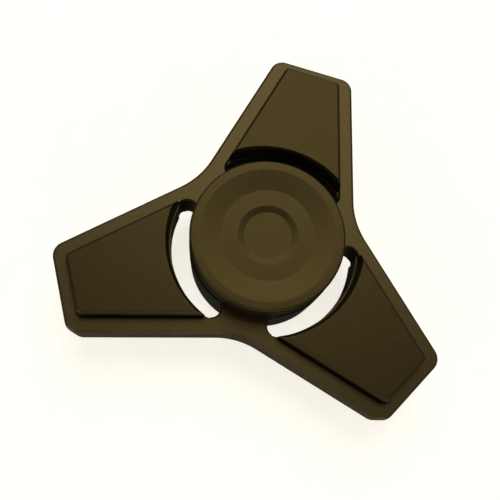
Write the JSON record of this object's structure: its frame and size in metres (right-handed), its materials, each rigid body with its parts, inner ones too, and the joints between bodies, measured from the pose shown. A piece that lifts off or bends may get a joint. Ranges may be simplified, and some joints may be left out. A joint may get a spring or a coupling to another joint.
{
  "type": "fidget spinner",
  "caption": "Three-arm metal fidget spinner with inlaid arm pads, arc slots round the hub, and dished finger buttons on a ball bearing.",
  "frame": {"origin": "centre of the spinner, on the spin axis, half way through the thickness", "axes": "+Z along the spin axis out of the front button, +Y along one arm"},
  "size_m": [0.0686, 0.0601, 0.0172],
  "materials": {
    "frame_metal": "bead-blasted, matte olive-bronze anodising",
    "pad_metal": "bead-blasted, matte dark bronze anodising",
    "button_metal": "turned, satin olive-bronze anodising",
    "bearing_steel": "ground and polished bearing steel",
    "pressed_steel": "plain steel"
  },
  "bodies": {
    "grip": {"front_button": "button_metal", "rear_button": "button_metal", "axle": "pressed_steel", "bearing_inner_ring": "bearing_steel"},
    "rotor": {"frame": "frame_metal", "front_pad_1": "pad_metal", "rear_pad_1": "pad_metal", "front_pad_2": "pad_metal", "rear_pad_2": "pad_metal", "front_pad_3": "pad_metal", "rear_pad_3": "pad_metal", "bearing_outer_ring": "bearing_steel", "front_shield": "pressed_steel", "rear_shield": "pressed_steel"},
    "cage": {"cage_front": "pressed_steel", "cage_rear": "pressed_steel", "cage_rivet_1": "pressed_steel", "cage_rivet_2": "pressed_steel", "cage_rivet_3": "pressed_steel", "cage_rivet_4": "pressed_steel", "cage_rivet_5": "pressed_steel", "cage_rivet_6": "pressed_steel", "cage_rivet_7": "pressed_steel"},
    "ball_body_1": {"ball_1": "bearing_steel"},
    "ball_body_2": {"ball_2": "bearing_steel"},
    "ball_body_3": {"ball_3": "bearing_steel"},
    "ball_body_4": {"ball_4": "bearing_steel"},
    "ball_body_5": {"ball_5": "bearing_steel"},
    "ball_body_6": {"ball_6": "bearing_steel"},
    "ball_body_7": {"ball_7": "bearing_steel"}
  },
  "joints": [
    {"name": "rotor_spin", "type": "hinge", "parent": "grip", "child": "rotor", "pos_m": [0, 0, 0], "axis": [0, 0, 1], "continuous": true},
    {"name": "cage_spin", "type": "hinge", "parent": "grip", "child": "cage", "pos_m": [0, 0, 0], "axis": [0, 0, 1], "continuous": true},
    {"name": "ball_1_spin", "type": "hinge", "parent": "cage", "child": "ball_body_1", "pos_m": [0, 0.0075, 0], "axis": [0, 0, 1], "continuous": true},
    {"name": "ball_2_spin", "type": "hinge", "parent": "cage", "child": "ball_body_2", "pos_m": [-0.00586, 0.00468, 0], "axis": [0, 0, 1], "continuous": true},
    {"name": "ball_3_spin", "type": "hinge", "parent": "cage", "child": "ball_body_3", "pos_m": [-0.00731, -0.00167, 0], "axis": [0, 0, 1], "continuous": true},
    {"name": "ball_4_spin", "type": "hinge", "parent": "cage", "child": "ball_body_4", "pos_m": [-0.00325, -0.00676, 0], "axis": [0, 0, 1], "continuous": true},
    {"name": "ball_5_spin", "type": "hinge", "parent": "cage", "child": "ball_body_5", "pos_m": [0.00325, -0.00676, 0], "axis": [0, 0, 1], "continuous": true},
    {"name": "ball_6_spin", "type": "hinge", "parent": "cage", "child": "ball_body_6", "pos_m": [0.00731, -0.00167, 0], "axis": [0, 0, 1], "continuous": true},
    {"name": "ball_7_spin", "type": "hinge", "parent": "cage", "child": "ball_body_7", "pos_m": [0.00586, 0.00468, 0], "axis": [0, 0, 1], "continuous": true}
  ],
  "couplings": [
    {"joint": "cage_spin", "follows": "rotor_spin", "ratio": 0.6323},
    {"joint": "ball_1_spin", "follows": "rotor_spin", "ratio": 1.758},
    {"joint": "ball_2_spin", "follows": "rotor_spin", "ratio": 1.758},
    {"joint": "ball_3_spin", "follows": "rotor_spin", "ratio": 1.758},
    {"joint": "ball_4_spin", "follows": "rotor_spin", "ratio": 1.758},
    {"joint": "ball_5_spin", "follows": "rotor_spin", "ratio": 1.758},
    {"joint": "ball_6_spin", "follows": "rotor_spin", "ratio": 1.758},
    {"joint": "ball_7_spin", "follows": "rotor_spin", "ratio": 1.758}
  ]
}
